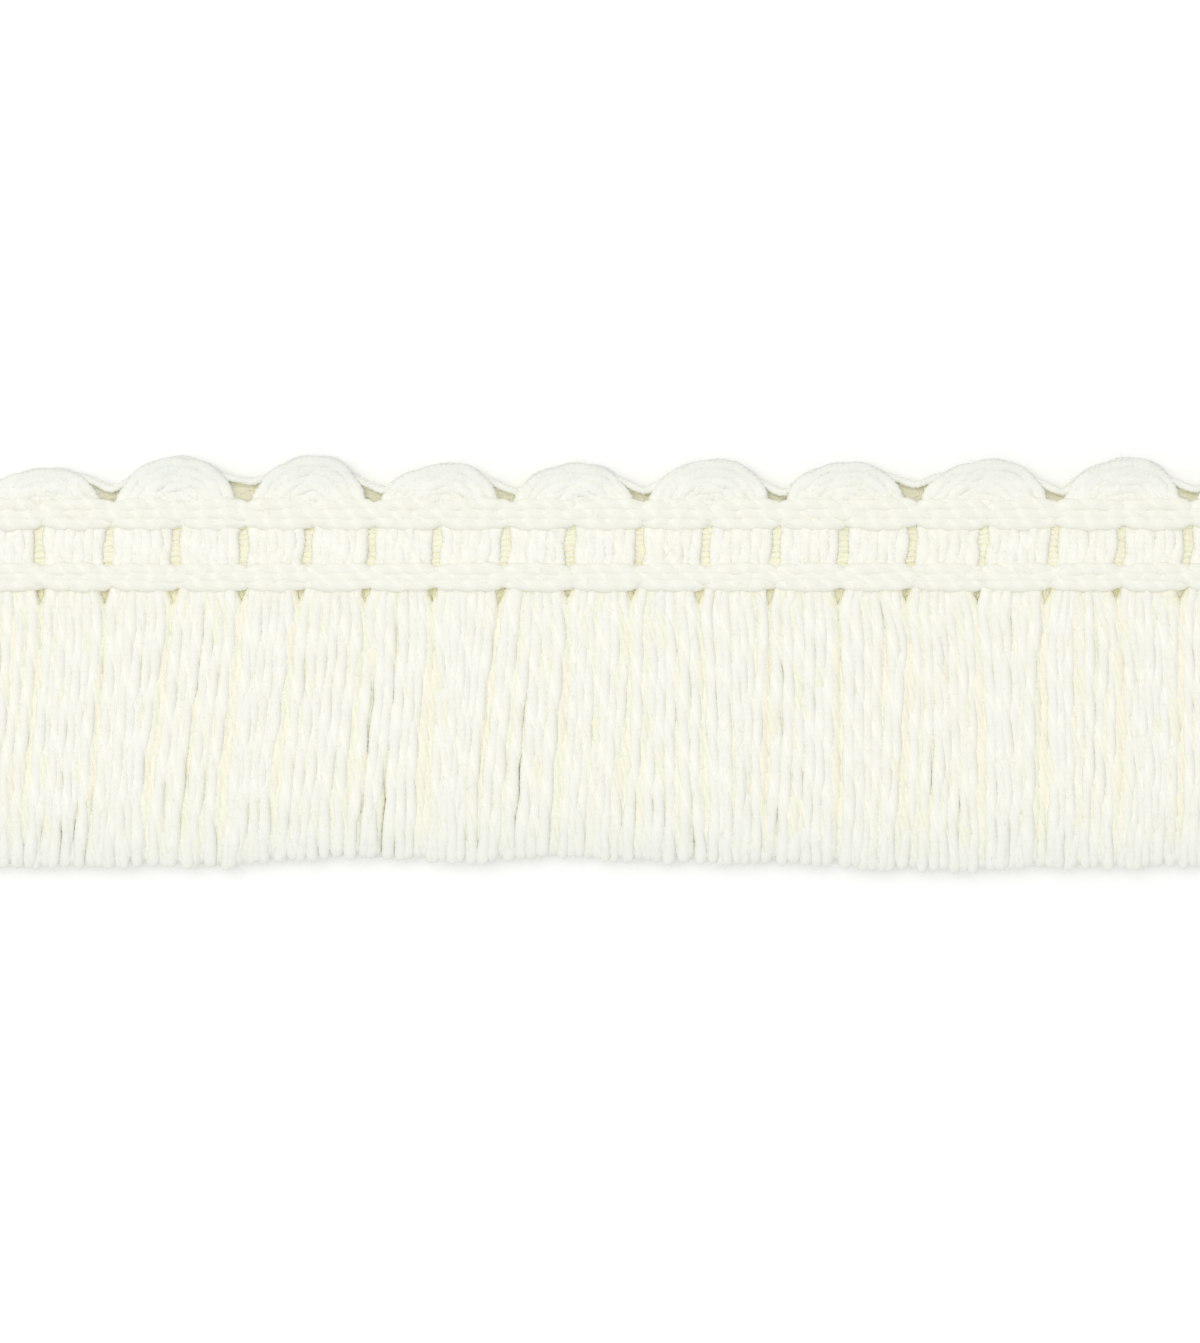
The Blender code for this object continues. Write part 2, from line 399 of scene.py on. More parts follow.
@dataclass
class FibreField:
    """Stray fibres that stand off the yarns, as thin tapered three-sided hairs.

    curl and sway each give the spread of a fibre's bend and how much of it shows. Over crest a
    fibre rises by no more than halo, and upright is a direction that few fibres take.
    """

    seed: int
    thickness: float = 0.018
    taper: float = 0.7
    bends: int = 3
    sides: int = 3
    curl: tuple[float, float] = (0.55, 0.6)
    sway: tuple[float, float] = (0.35, 0.3)
    crest: float = 2.05
    halo: float = 0.6
    upright: tuple[float, float, float] = (0.3, 0.2, 0.93)
    shade: float = 0.6
    # Every stray fibre takes a little of the cooler, darker painted edge shade.
    edge_shade_share: float = 0.4

    def __post_init__(self) -> None:
        """Starts the field with no roots."""
        self.random = np.random.default_rng(self.seed)
        self.roots: list[Points] = []
        self.ways: list[Points] = []
        self.lengths: list[Points] = []

    def sow(self, roots: Points, ways: Points, lengths: Points) -> None:
        """Adds fibres.

        Args:
            roots: Where they stand, one to a row.
            ways: Their ways out of the yarn.
            lengths: Their lengths.
        """
        self.roots.append(roots)
        self.ways.append(ways)
        self.lengths.append(lengths)

    def piece(self, name: str, layout: TrimLayout, floor: float = 0.03) -> bpy.types.Object:
        """Makes every fibre and joins them in one object.

        Args:
            name: The object's name.
            layout: What places the points in the frame.
            floor: How low a fibre may reach.

        Returns:
            The object.
        """
        roots = np.vstack(self.roots)
        ways = np.vstack(self.ways)
        lengths = np.concatenate(self.lengths)[:, None]
        ways /= np.linalg.norm(ways, axis=1, keepdims=True)
        curl = self.random.normal(0, self.curl[0], ways.shape)
        sway = self.random.normal(0, self.sway[0], ways.shape)
        shares = np.linspace(0, 1, self.bends + 1)
        lines = []
        for share in shares:
            bow = curl * share**2 * self.curl[1] + sway * math.sin(math.pi * share) * self.sway[1]
            lines.append(roots + lengths * (ways * share + bow))
        spots = np.stack(lines, axis=1)
        heights = spots[..., 2]
        over = self.halo * np.tanh(np.maximum(heights - self.crest, 0) / self.halo)
        spots[..., 2] = np.maximum(np.minimum(heights, self.crest) + over, floor)
        side = np.cross(ways, np.array(self.upright))
        side /= np.linalg.norm(side, axis=1, keepdims=True) + TINY
        rise = np.cross(side, ways)
        rings = []
        for corner in range(self.sides):
            angle = 2 * math.pi * corner / self.sides
            way = math.cos(angle) * side + math.sin(angle) * rise
            thin = self.thickness * (1 - self.taper * shares[:-1])
            rings.append(spots[:, :-1] + way[:, None, :] * thin[None, :, None])
        skins = np.stack(rings, axis=2).reshape(len(roots), -1, 3)
        hairs = np.concatenate([skins, spots[:, -1:]], axis=1)
        firsts = (np.arange(len(roots)) * hairs.shape[1])[:, None]
        quads = []
        for step in range(self.bends - 1):
            for corner in range(self.sides):
                a = self.sides * step + corner
                b = self.sides * step + (corner + 1) % self.sides
                quads.append(firsts + np.array([[a, b, b + self.sides, a + self.sides]]))
        store = MeshStore()
        faces = np.vstack(quads)
        blank = np.zeros((len(faces), 4, 2))
        store.add(hairs.reshape(-1, 3), faces, blank, shade=self.shade, tip=self.edge_shade_share)
        last = self.sides * (self.bends - 1)
        point = self.sides * self.bends
        for first in firsts[:, 0].tolist():
            store.cap(range(self.sides - 1, -1, -1), first)
            for corner in range(self.sides):
                store.cap((last + corner, last + (corner + 1) % self.sides, point), first)
        return store.piece(name, layout, smooth=False)


@dataclass
class YarnMaker:
    """Sweeps a two-ply section along routes and joins the yarns in one mesh.

    Between the two heights of crest a yarn turns to the cooler, darker painted edge shade. Fibres
    stand only where the skin faces up by more than bare. swell is how uneven a yarn's thickness
    is, and swell_rate how quickly that changes. recess_shade_depth is the depth over which a yarn
    turns to its painted recess shade.
    """

    section: YarnSection
    seed: int
    spacing: float = 0.42
    flatten: float = 1.0
    end: YarnEnd = YarnEnd()
    crest: tuple[float, float] = (90.0, 100.0)
    swell: float = 0.05
    swell_rate: float = 1.3
    swell_start: float = 6.0
    recess_shade_depth: float = 0.8
    grain_shift: float = 40.0
    bare: float = 0.1
    fibre_lean: float = 1.2
    fibre_out: float = 0.75
    fibre_root: float = 0.03
    fibre_lengths: tuple[float, float] = (3.0, 0.2)
    store: MeshStore = field(default_factory=MeshStore)

    def __post_init__(self) -> None:
        """Starts this maker's own random draws."""
        self.random = np.random.default_rng(self.seed)

    def stations(self, route: Points, cut_end: bool) -> tuple[Points, Points]:
        """The cross-sections' centres, closer together at a rounded cut end.

        Args:
            route: The yarn's line in even steps.
            cut_end: Whether the last end shows and is rounded off.

        Returns:
            The centres, and how far along the yarn each one is.
        """
        run = np.concatenate([[0], np.cumsum(np.linalg.norm(np.diff(route, axis=0), axis=1))])
        if not cut_end:
            return route, run
        close = run[-1] - self.end.round_length * np.array(self.end.rings)
        stops = np.concatenate([run[run < close[0] - self.end.clear], close])
        return np.column_stack([np.interp(stops, run, route[:, k]) for k in range(3)]), stops

    def add(
        self,
        marks: Sequence[Sequence[float]],
        cut_end: bool = False,
        scale: float = 1.0,
        least_recess_shade: float = 0.0,
        fibres: FibreField | None = None,
        fibres_per_mm: float = 0.0,
        shade_below: float = COLUMN_SHADE_BELOW,
    ) -> None:
        """Adds one yarn.

        Args:
            marks: The points that the yarn goes through.
            cut_end: Whether its last end is a cut end that shows.
            scale: The yarn's thickness against its section's.
            least_recess_shade: The least share of painted recess shade on the yarn, from 0 to 1,
                for yarn that lies under others.
            fibres: The field that takes the yarn's stray fibres.
            fibres_per_mm: How many fibres stand off each millimetre.
            shade_below: The height under which the yarn takes painted recess shade, as lying
                between others.
        """
        centres, run = self.stations(smooth_route(marks, self.spacing), cut_end)
        along = np.gradient(centres, axis=0)
        along /= np.linalg.norm(along, axis=1, keepdims=True)
        side = np.cross(along, np.array([0.0, 0.0, 1.0]))
        side /= np.linalg.norm(side, axis=1, keepdims=True)
        rise = np.cross(side, along)
        angles, reach = self.section.outline()
        phase = self.random.uniform(0, 2 * math.pi)
        start = self.random.uniform(0, self.swell_start)
        uneven = 1 + self.swell * np.sin(run * self.swell_rate + start)
        left = run[-1] - run
        size = scale * uneven
        roundness = np.zeros(len(run))
        if cut_end:
            opening = np.clip(1 - left / self.end.flare_length, 0, 1) ** self.end.flare_power
            size = size * (1 + (self.end.flare - 1) * opening)
            near = np.clip(1 - left / self.end.round_length, 0, 1)
            size = size * np.sqrt(np.clip(1 - near**2, self.end.blunt, 1))
            roundness = self.end.open_plies * opening
        turn = self.section.twist.value * 2 * math.pi * run / self.section.pitch + phase
        turned = angles[None, :] + turn[:, None]
        mean = float(reach.mean())
        radius = reach[None, :] * (1 - roundness[:, None]) + mean * roundness[:, None]
        radius = radius * size[:, None]
        across = np.cos(turned)[..., None] * side[:, None, :]
        up = np.sin(turned)[..., None] * rise[:, None, :] * self.flatten
        rings = centres[:, None, :] + radius[..., None] * (across + up)
        rings[..., 2] = np.maximum(rings[..., 2], LOWEST)
        self.skin(rings, run, reach, roundness, least_recess_shade, shade_below)
        if fibres is not None and fibres_per_mm > 0:
            self.grow(fibres, rings, centres, along, run, fibres_per_mm)

    def skin(
        self,
        rings: Points,
        run: Points,
        reach: Points,
        roundness: Points,
        least_recess_shade: float,
        shade_below: float,
    ) -> None:
        """Joins a yarn's rings with quads, closes both ends and stores them.

        Args:
            rings: The points of each cross-section.
            run: How far along the yarn each cross-section is.
            reach: The section's distances from its centre.
            roundness: How far the plies have opened at each cross-section.
            least_recess_shade: The least share of painted recess shade on the yarn, from 0 to 1,
                for yarn that lies under others.
            shade_below: The height under which the yarn takes painted recess shade, as lying
                between others.
        """
        steps, sides = rings.shape[:2]
        number = np.arange(steps * sides).reshape(steps, sides)
        following = np.roll(number, -1, axis=1)
        faces = np.stack(
            [number[:-1], following[:-1], following[1:], number[1:]], axis=-1
        ).reshape(-1, 4)
        around = 2 * math.pi * self.section.reach / sides
        u = np.arange(sides) * around
        shape = (steps - 1, sides)
        low, high = np.broadcast_to(run[:-1, None], shape), np.broadcast_to(run[1:, None], shape)
        start = np.broadcast_to(u, shape)
        shift = self.random.uniform(0, self.grain_shift)
        uvs = np.stack(
            [
                np.stack([start, low + shift], -1),
                np.stack([start + around, low + shift], -1),
                np.stack([start + around, high + shift], -1),
                np.stack([start, high + shift], -1),
            ],
            axis=2,
        ).reshape(-1, 4, 2)
        first = self.store.count
        # groove marks the valleys between the plies, where the finish paints a lighter, warm
        # colour as painted light.
        deep = 1 - (reach - reach.min()) / (reach.max() - reach.min())
        groove = (deep[None, :] ** 2 * (1 - roundness[:, None])).ravel()
        # tip and the crest share paint the cooler, darker edge shade: painted shade where the
        # light falls off at the cut ends and the scallop tops.
        tip = np.zeros(len(run))
        if roundness.any():
            tip = np.clip(1 - (run[-1] - run) / self.end.end_shade_length, 0, 1)
        low_crest, high_crest = self.crest
        crest_shade = np.clip((rings[..., 1] - low_crest) / (high_crest - low_crest), 0, 1)
        outer = np.maximum(np.repeat(tip, sides), crest_shade.ravel())
        # under paints the recess shade: yarn low between others takes the yellow painted shade,
        # except where the edge shade is.
        under = np.clip((shade_below - rings[..., 2].ravel()) / self.recess_shade_depth, least_recess_shade, 1)
        self.store.add(
            rings.reshape(-1, 3),
            faces,
            uvs,
            shade=self.random.uniform(0, 1),
            groove=groove,
            tip=outer,
            under=under * (1 - outer**3),
        )
        self.store.cap(range(sides - 1, -1, -1), first)
        self.store.cap(range(sides), first + (steps - 1) * sides)

    def grow(
        self,
        fibres: FibreField,
        rings: Points,
        centres: Points,
        along: Points,
        run: Points,
        per_mm: float,
    ) -> None:
        """Sows stray fibres on a yarn's skin, which lean along it and away from it.

        Args:
            fibres: The field that takes them.
            rings: The points of each cross-section.
            centres: The cross-sections' centres.
            along: The yarn's direction at each centre.
            run: How far along the yarn each centre is.
            per_mm: How many fibres stand off each millimetre.
        """
        tries = 2 * int(run[-1] * per_mm)
        if tries < 1:
            return
        step = self.random.integers(1, len(run) - 1, tries)
        corner = self.random.integers(0, rings.shape[1], tries)
        out = rings[step, corner] - centres[step]
        out /= np.linalg.norm(out, axis=1, keepdims=True)
        shown = out[:, 2] > self.bare
        step, corner, out = step[shown], corner[shown], out[shown]
        roots = rings[step, corner]
        count = len(roots)
        lean = self.random.normal(0, self.fibre_lean, (count, 1)) * along[step]
        lengths = self.random.gamma(*self.fibre_lengths, count)
        fibres.sow(roots - self.fibre_root * out, out * self.fibre_out + lean, lengths)


class Wire:
    """A number in a material's nodes that is written into plain expressions."""

    def __init__(self, graph: "FinishGraph", socket: bpy.types.NodeSocket) -> None:
        """Holds one output socket of a graph."""
        self.graph = graph
        self.socket = socket

    def _math(self, operation: str, first: Any, second: Any) -> "Wire":
        """One Math node on two values.

        Args:
            operation: The node's operation.
            first: Its first value.
            second: Its second value.

        Returns:
            The result.
        """
        node = self.graph.add(
            "ShaderNodeMath", {"operation": operation}, {0: first, 1: second}
        )
        return Wire(self.graph, node.outputs[0])

    def __add__(self, other: Any) -> "Wire":
        """The sum of two values."""
        return self._math("ADD", self, other)

    __radd__ = __add__

    def __sub__(self, other: Any) -> "Wire":
        """This value less another."""
        return self._math("SUBTRACT", self, other)

    def __rsub__(self, other: Any) -> "Wire":
        """Another value less this one."""
        return self._math("SUBTRACT", other, self)

    def __mul__(self, other: Any) -> "Wire":
        """The product of two values."""
        return self._math("MULTIPLY", self, other)

    __rmul__ = __mul__

    def ramped(self, low: float, high: float) -> "Wire":
        """This value as a share between two limits, held at both ends.

        Args:
            low: The value that gives 0.
            high: The value that gives 1.

        Returns:
            The share.
        """
        node = self.graph.add(
            "ShaderNodeMapRange", {"clamp": True}, {0: self, 1: low, 2: high, 3: 0.0, 4: 1.0}
        )
        return Wire(self.graph, node.outputs[0])


class FinishGraph:
    """Builds one material's nodes."""

    def __init__(self, name: str) -> None:
        """Starts an empty material.

        Args:
            name: The material's name.
        """
        self.material = bpy.data.materials.new(name)
        self.material.use_nodes = True
        self.tree = self.material.node_tree
        self.tree.nodes.clear()

    def add(
        self, kind: str, settings: Mapping[str, Any], sockets: Mapping[int | str, Any]
    ) -> bpy.types.Node:
        """Adds a node.

        Args:
            kind: The node's type.
            settings: The node's own settings, which are set first.
            sockets: Values, wires or output sockets for its inputs.

        Returns:
            The node.
        """
        node = self.tree.nodes.new(kind)
        for name, value in settings.items():
            setattr(node, name, value)
        for name, value in sockets.items():
            source = value.socket if isinstance(value, Wire) else value
            if isinstance(source, bpy.types.NodeSocket):
                self.tree.links.new(source, node.inputs[name])
            else:
                node.inputs[name].default_value = source
        return node

    def number(self, name: str) -> Wire:
        """A value that the mesh carries at its points."""
        node = self.add("ShaderNodeAttribute", {"attribute_name": name}, {})
        return Wire(self, node.outputs["Fac"])

    def mix(self, share: Any, first: Any, second: Any) -> bpy.types.NodeSocket:
        """A blend of two colours.

        Args:
            share: How much of the second colour there is.
            first: The first colour.
            second: The second colour.

        Returns:
            The blend's output socket.
        """
        node = self.add(
            "ShaderNodeMix",
            {"data_type": "RGBA", "clamp_factor": True},
            {"Factor": share, 6: first, 7: second},
        )
        return node.outputs[2]

    def noise(self, place: Any, scale: float, detail: float = 2.0) -> Wire:
        """Soft noise over a set of coordinates.

        Args:
            place: The coordinates.
            scale: How fine the noise is.
            detail: How many finer layers it has.

        Returns:
            The noise.
        """
        node = self.add(
            "ShaderNodeTexNoise", {}, {"Vector": place, "Scale": scale, "Detail": detail}
        )
        return Wire(self, node.outputs["Fac"])


@dataclass(frozen=True)
class YarnFinish:
    """Soft matt spun yarn: its colours, its fibre grain and its fuzz sheen.

    body and pale vary from yarn to yarn and in soft patches. deep is the grain's colour and, in
    the grooves between the plies, painted light. cut is painted shade, cooler and darker, at the
    cut ends and the scallop tops, and hidden is painted recess shade where yarns lie between
    others.
    """

    name: str
    body: Colour
    deep: Colour
    pale: Colour
    cut: Colour
    recess_shade: Colour
    shade_weight: float = 0.5
    patch_weight: float = 0.7
    patch_scale: float = 210.0
    pale_start: float = 0.25
    pale_full: float = 0.8
    groove_light_weight: float = 0.8
    grain_weight: float = 0.6
    grain_level: float = 0.6
    edge_shade_weight: float = 0.8
    grain_turn: float = 0.35
    grain_scale: tuple[float, float, float] = (11.0, 1.1, 1.0)
    grain: float = 0.03
    bump: float = 0.35
    roughness: float = 0.85
    roughness_play: float = 0.2
    gloss: float = 0.25
    sheen: float = 0.06
    sheen_roughness: float = 0.5

    @classmethod
    def plain(cls, name: str, colour: Colour) -> "YarnFinish":
        """A yarn that has one colour throughout."""
        return cls(name, colour, colour, colour, colour, colour)

    def material(self) -> bpy.types.Material:
        """Builds the finish.

        Returns:
            The material.
        """
        graph = FinishGraph(self.name)
        place = graph.add("ShaderNodeTexCoord", {}, {}).outputs["Object"]
        yarn = graph.add("ShaderNodeUVMap", {"uv_map": "yarn"}, {}).outputs["UV"]
        fibre_run = graph.add(
            "ShaderNodeMapping",
            {},
            {
                "Vector": yarn,
                "Rotation": (0.0, 0.0, self.grain_turn),
                "Scale": self.grain_scale,
            },
        ).outputs[0]
        fibres = graph.noise(fibre_run, 1.0, 3.0)
        patches = graph.noise(place, self.patch_scale, 1.0)
        shade = graph.number("shade")
        groove = graph.number("groove")
        tip = graph.number("tip")
        under = graph.number("under")
        pale_share = shade * self.shade_weight + patches * self.patch_weight - self.pale_start
        colour = graph.mix(pale_share.ramped(0.0, self.pale_full), self.body, self.pale)
        # The fibre grain takes the deep colour, and so do the grooves between the plies as painted
        # light.
        deep_share = groove * self.groove_light_weight + (self.grain_level - fibres) * self.grain_weight
        colour = graph.mix(deep_share.ramped(0.0, 1.0), colour, self.deep)
        # Painted shade: cooler and darker at the cut ends and over the scallop tops.
        colour = graph.mix(tip * tip * self.edge_shade_weight, colour, self.cut)
        # Painted recess shade where yarns lie low between others.
        colour = graph.mix(under, colour, self.recess_shade)
        bump = graph.add(
            "ShaderNodeBump",
            {},
            {"Strength": self.bump, "Distance": self.grain * MM, "Height": fibres},
        )
        shader = graph.add(
            "ShaderNodeBsdfPrincipled",
            {},
            {
                "Base Color": colour,
                "Roughness": self.roughness + (fibres - 0.5) * self.roughness_play,
                "Normal": bump.outputs[0],
                "Specular IOR Level": self.gloss,
                "Sheen Weight": self.sheen,
                "Sheen Roughness": self.sheen_roughness,
            },
        )
        graph.add("ShaderNodeOutputMaterial", {}, {"Surface": shader.outputs[0]})
        return graph.material


@dataclass(frozen=True)
class Ripple:
    """A small regular waver: how far it goes to each side, and its turn at each step."""

    reach: float
    rate: float

    def at(self, step: float, phase: float = 0.0) -> float:
        """The waver at a step."""
        return self.reach * math.sin(self.rate * step + phase)


@dataclass(frozen=True)
class HeadingLayer:
    """One layer of a scallop's yarns.

    bound_z and free_z are its heights under the stitches and clear of them, edge is how far the
    outer yarns keep inside the bundle's edge against their own reach, crown is how far the middle
    rises, buried is the least share of painted recess shade, for yarn that lies under others, and
    fuzz is its fibres on each millimetre.
    """

    lanes: int
    bound_z: float
    free_z: float
    edge: float
    crown: float = 0.0
    least_recess_shade: float = 0.0
    fuzz: float = 0.0


class BridgeMark(NamedTuple):
    """A point of a bridging yarn: its way aside, its share of the rise, and its height."""

    side: float
    share: float
    z: float


@dataclass(frozen=True)
class WispBand:
    """A band of openings that stray fibres cross."""

    low: float
    high: float
    half_width: float
    count: int


@dataclass
class Heading:
    """The bundles that climb, turn over as scallops and come down again, and what joins them.

    fullness is how full a bundle is at each height. bridge_marks are one half of the yarn that
    bridges a crotch, and its ends lie on the shoulder. crotch_marks are one half of the yarns
    under it, which lie from crotch_low up to crotch_clear below the notch: crotch_spread and
    crotch_z are the lowest one's width and height, and how much each changes up to the last.
    """

    layout: TrimLayout
    fibres: FibreField

    section: YarnSection = YarnSection(ply=0.52, apart=0.13, pitch=5.0)
    flatten: float = 0.56
    layers: tuple[HeadingLayer, ...] = (
        HeadingLayer(lanes=5, bound_z=0.55, free_z=0.85, edge=0.6, least_recess_shade=0.7),
        HeadingLayer(lanes=6, bound_z=1.3, free_z=1.52, edge=0.75, crown=0.16, fuzz=6.0),
    )
    fullness: tuple[tuple[float, float], ...] = (
        (22.0, 0.0),
        (24.0, 0.5),
        (24.9, 0.7),
        (25.6, 0.7),
        (26.5, 0.5),
        (28.7, 0.6),
        (30.0, 1.0),
    )
    slot_width: float = 0.8
    crotch_width: float = 1.15
    leg_heights: tuple[float, ...] = (22.4, 23.6, 24.6, 25.9, 27.0)
    inner_spring: float = 27.6
    inner_rise: float = 0.7
    outer_spring: float = 28.1
    arch_steps: int = 11
    arch_ends: tuple[float, float] = (0.97, 0.03)
    # Between these heights the scallop tops turn to the cooler, darker painted edge shade.
    crest: tuple[float, float] = (28.1, 31.1)
    lane_play: float = 0.1
    ripple_x: Ripple = Ripple(0.05, 2.1)
    ripple_z: Ripple = Ripple(0.06, 1.7)

    bridge_section: YarnSection = YarnSection(ply=0.26, apart=0.07, sides=10)
    bridge_marks: tuple[BridgeMark, ...] = (
        BridgeMark(3.2, 1.0, 0.9),
        BridgeMark(2.3, 0.83, 1.1),
        BridgeMark(1.35, 0.48, 1.3),
        BridgeMark(0.6, 0.17, 1.35),
    )
    shoulder: float = 31.0

    crotch_section: YarnSection = YarnSection(ply=0.36, apart=0.12)
    crotch_yarns: int = 5
    crotch_low: float = 28.7
    crotch_clear: float = 0.25
    crotch_spread: tuple[float, float] = (1.5, 0.2)
    crotch_z: tuple[float, float] = (0.62, -0.06)
    crotch_marks: tuple[tuple[float, float], ...] = ((1.0, 0.6), (0.62, 0.35), (0.28, 0.1))
    crotch_lean: float = 0.12
    crotch_scale: float = 0.8

    cord_section: YarnSection = YarnSection(ply=0.30, apart=0.08, sides=8, pitch=9.0)
    cord_heights: tuple[float, ...] = (23.7, 24.15, 24.6, 25.05, 25.5, 25.95, 26.4, 26.85)
    cord_z: float = 1.05
    cord_inset: float = 1.0
    cord_steps: int = 90
    cord_spacing: float = 0.5
    cord_ripple: Ripple = Ripple(0.05, 2.3)

    wisp_bands: tuple[WispBand, ...] = (
        WispBand(24.1, 26.5, 0.5, 90),
        WispBand(20.0, 21.7, 0.3, 40),
    )
    wisp_heights: tuple[float, float, float] = (20.0, 21.0, 25.3)
    wisp_z: tuple[float, float] = (0.25, 1.5)
    wisp_lean: tuple[float, float] = (0.7, 0.3)
    wisp_lengths: tuple[float, float] = (0.35, 0.95)

    def bound(self, height: float) -> float:
        """How full a bundle is at a height.

        Args:
            height: The height above the cut line.

        Returns:
            From 0 under a row of stitches to 1 clear of them.
        """
        return float(np.interp(height, *zip(*self.fullness)))

    def edges(self, index: int) -> list[tuple[Points, Points]]:
        """The inner and outer edge of one turned-over bundle.

        Args:
            index: The scallop's row in the table.

        Returns:
            Pairs of points, from the left leg's foot round to the right leg's foot.
        """
        scallop = SCALLOPS[index]
        left, slot, right = 2 * index, 2 * index + 1, 2 * index + 2
        half = self.slot_width / 2
        legs = []
        for outer, side in ((left, -1), (right, 1)):
            leg = []
            for height in self.leg_heights:
                inner_x = self.layout.gap_x(slot, height) + side * half
                outer_x = self.layout.gap_x(outer, height) - side * half
                leg.append((np.array([inner_x, height]), np.array([outer_x, height])))
            legs.append(leg)
        arch = []
        centre = GAPS[slot].slot
        first, last = self.arch_ends
        for angle in np.linspace(math.pi * first, math.pi * last, self.arch_steps):
            rise, way = math.sin(angle), math.cos(angle)
            end = GAPS[right].slot - self.crotch_width / 2
            if way < 0:
                end = GAPS[left].slot + self.crotch_width / 2
            inner = np.array([centre + half * way, self.inner_spring + self.inner_rise * rise])
            outer_x = scallop.crest + abs(way) * (end - scallop.crest)
            outer_y = self.outer_spring + rise * (scallop.top - self.outer_spring)
            arch.append((inner, np.array([outer_x, outer_y])))
        return legs[0] + arch + legs[1][::-1]

    def build(self, index: int) -> bpy.types.Object:
        """Lays the yarns of one bundle.

        Args:
            index: The scallop's row in the table.

        Returns:
            The bundle.
        """
        maker = YarnMaker(
            self.section, seed=Seed.LOOPS + index, flatten=self.flatten, crest=self.crest
        )
        edges = self.edges(index)
        reach = self.section.reach
        for layer in self.layers:
            edge = layer.edge * reach
            for lane in range(layer.lanes):
                play = maker.random.uniform(-self.lane_play, self.lane_play)
                share = min(max((lane + play) / (layer.lanes - 1), 0.0), 1.0)
                wave = maker.random.uniform(0, PHASES)
                marks = []
                for step, (inner, outer) in enumerate(edges):
                    span = float(np.linalg.norm(outer - inner))
                    inset = (edge + share * (span - 2 * edge)) / span
                    spot = inner + (outer - inner) * inset
                    full = self.bound(float(spot[1]))
                    crown = layer.crown * (1 - (2 * share - 1) ** 2) * full
                    z = layer.bound_z + full * (layer.free_z - layer.bound_z) + crown
                    z += self.ripple_z.at(step, wave)
                    marks.append((spot[0] + self.ripple_x.at(step, wave), spot[1], z))
                # The outermost lane at each end of the trim shows from the side, so it takes
                # painted recess shade only down low.
                least_recess_shade, shade_below = layer.least_recess_shade, COLUMN_SHADE_BELOW
                if lane == layer.lanes - 1 and index in (0, len(SCALLOPS) - 1):
                    least_recess_shade, shade_below = 0.0, EDGE_SHADE_BELOW
                maker.add(marks, False, 1.0, least_recess_shade, self.fibres, layer.fuzz, shade_below)
        crotch = 2 * index + 2
        if crotch < len(GAPS) - 1:
            self.bridge(crotch, maker.store)
        return maker.store.piece(f"loop_yarns_{index + 1:02d}", self.layout)

    def bridge(self, crotch: int, store: MeshStore) -> None:
        """Lays the yarn that dips from one scallop's shoulder to the next one's.

        Args:
            crotch: The row in the table of gaps of the crotch that it crosses.
            store: What takes the yarn.
        """
        seed = Seed.BRIDGES + crotch
        maker = YarnMaker(self.bridge_section, seed=seed, crest=self.crest, store=store)
        notch = NOTCHES[crotch // 2 - 1]
        x, reach = GAPS[crotch].slot, self.bridge_marks[0][0]
        rise = self.shoulder - notch.low
        half = [
            (side, notch.aside * (1 - side / reach), notch.low + rise * share, z)
            for side, share, z in self.bridge_marks
        ]
        marks = [(x + shift - side, y, z) for side, shift, y, z in half]
        marks += [(x + notch.aside, notch.low, self.bridge_marks[-1][2])]
        marks += [(x + shift + side, y, z) for side, shift, y, z in reversed(half)]
        maker.add(marks)

    def wisps(self, random: np.random.Generator) -> None:
        """Sows the stray fibres that cross the slots and the openings under the lower row.

        Args:
            random: The draws for their places.
        """
        for index in range(1, len(GAPS) - 1):
            gap = GAPS[index]
            for band in self.wisp_bands:
                y = random.uniform(band.low, band.high, band.count)
                z = random.uniform(*self.wisp_z, band.count)
                side = random.choice((-1.0, 1.0), band.count)
                x = np.interp(y, self.wisp_heights, (gap.upper, gap.neck, gap.slot))
                roots = np.column_stack([x + side * band.half_width, y, z])
                leans = [random.normal(0, lean, band.count) for lean in self.wisp_lean]
                ways = np.column_stack([-side, *leans])
                self.fibres.sow(roots, ways, random.uniform(*self.wisp_lengths, band.count))

    def ground_cords(self) -> bpy.types.Object:
        """Lays the cords that run along the trim under the bundles and show in the slots.

        Returns:
            The cords.
        """
        maker = YarnMaker(self.cord_section, seed=Seed.CORDS, spacing=self.cord_spacing)
        start = GAPS[0].slot + self.cord_inset
        end = GAPS[-1].slot - self.cord_inset
        for height in self.cord_heights:
            wave = maker.random.uniform(0, PHASES)
            marks = []
            for step, x in enumerate(np.linspace(start, end, self.cord_steps)):
                y = height + self.cord_ripple.at(step, wave)
                marks.append((float(x), y, self.cord_z + self.ripple_z.at(step)))
            maker.add(marks)
        return maker.store.piece("ground_cords", self.layout)

    def crossings(self) -> bpy.types.Object:
        """Lays the yarns that pass from each scallop to the next, low in the crotch between them.

        Returns:
            The yarns.
        """
        # These low yarns fill each crotch and, in a darker beige, stand for the shade there.
        maker = YarnMaker(self.crotch_section, seed=Seed.CROTCHES)
        for index in range(len(SCALLOPS) - 1):
            notch = NOTCHES[index]
            x = GAPS[2 * index + 2].slot + notch.aside / 2
            room = notch.low - self.crotch_clear - self.crotch_low
            for share in np.linspace(0, 1, self.crotch_yarns):
                spread = self.crotch_spread[0] + self.crotch_spread[1] * share
                z = self.crotch_z[0] + self.crotch_z[1] * share
                dip = self.crotch_low + share * room
                lean = maker.random.uniform(-self.crotch_lean, self.crotch_lean)
                half = [(part * spread, dip + rise) for part, rise in self.crotch_marks]
                marks = [(x - side + lean, y, z) for side, y in half]
                marks += [(x + lean, dip, z)]
                marks += [(x + side + lean, y, z) for side, y in reversed(half)]
                maker.add(marks, scale=self.crotch_scale)
        return maker.store.piece("crotch_yarns", self.layout)


